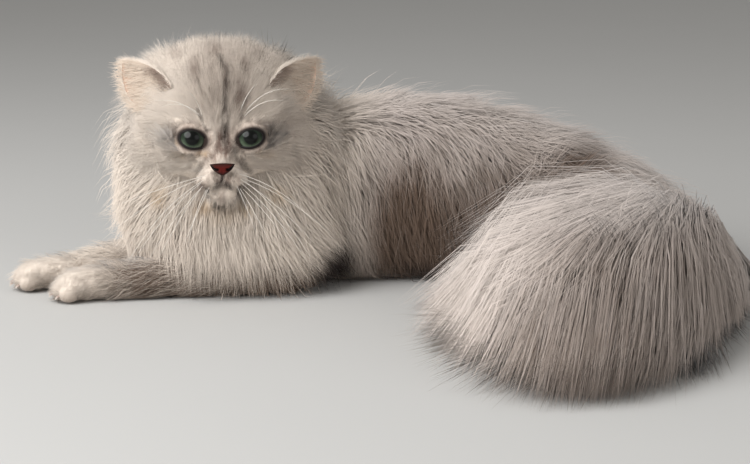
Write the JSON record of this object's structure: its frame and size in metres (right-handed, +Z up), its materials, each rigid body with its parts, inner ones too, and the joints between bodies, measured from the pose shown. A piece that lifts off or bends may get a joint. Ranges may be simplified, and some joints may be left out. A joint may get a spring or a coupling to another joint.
{
  "type": "persian cat",
  "caption": "Life-size model of a long-haired persian cat lying with forelegs stretched out, head turned sideways and plumed tail curled forward.",
  "frame": {"origin": "on the floor, under the middle of the bounding box of the whole cat", "axes": "+X from the chest to the rump, +Y away from the side that the face looks to, +Z up"},
  "size_m": [0.5898, 0.4766, 0.1887],
  "materials": {
    "face_fur": "short dense silver-cream fur",
    "nose_leather": "brick red, slightly moist",
    "eye": "wet green iris with a wide black pupil",
    "ear_fur": "thin pinkish skin with fine fur",
    "ruff_fur": "long soft cream fur",
    "silver_fur": "long silver-shaded fur with darker tips",
    "leg_fur": "short soft cream fur",
    "tail_fur": "very long silky fur, pale with a brown-grey shade"
  },
  "bodies": {
    "root": {"head": "face_fur", "nose": "nose_leather", "eye_left": "eye", "eye_right": "eye", "ear_left": "ear_fur", "ear_right": "ear_fur", "neck_ruff": "ruff_fur", "torso": "silver_fur", "foreleg_left": "leg_fur", "foreleg_right": "leg_fur", "forepaw_left": "leg_fur", "forepaw_right": "leg_fur", "hindleg_left": "silver_fur", "hindleg_right": "silver_fur", "hindpaw_left": "leg_fur", "hindpaw_right": "leg_fur", "tail_base": "tail_fur", "tail_middle": "tail_fur", "tail_tip": "tail_fur"}
  },
  "joints": []
}
